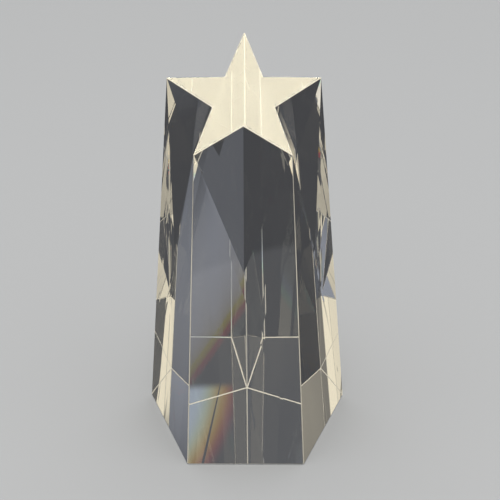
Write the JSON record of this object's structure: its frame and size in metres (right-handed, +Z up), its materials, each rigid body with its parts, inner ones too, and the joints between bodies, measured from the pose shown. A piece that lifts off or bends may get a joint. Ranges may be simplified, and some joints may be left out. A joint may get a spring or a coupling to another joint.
{
  "type": "star trophy",
  "caption": "Tapered pentagonal block of clear polished crystal. V-grooves cut its sloping top into a star. It stands free on its flat base.",
  "frame": {"origin": "middle of the flat base, at floor level, centred on its width and depth", "axes": "+Z up, the star's raised tip at the back (+Y), the leaning front face towards -Y, +X to the right seen from the front"},
  "size_m": [0.0784, 0.0651, 0.1496],
  "materials": {
    "optical_crystal": "clear, colourless, fully polished with fine bevelled edges"
  },
  "bodies": {
    "root": {"crystal_tower": "optical_crystal"}
  },
  "joints": []
}
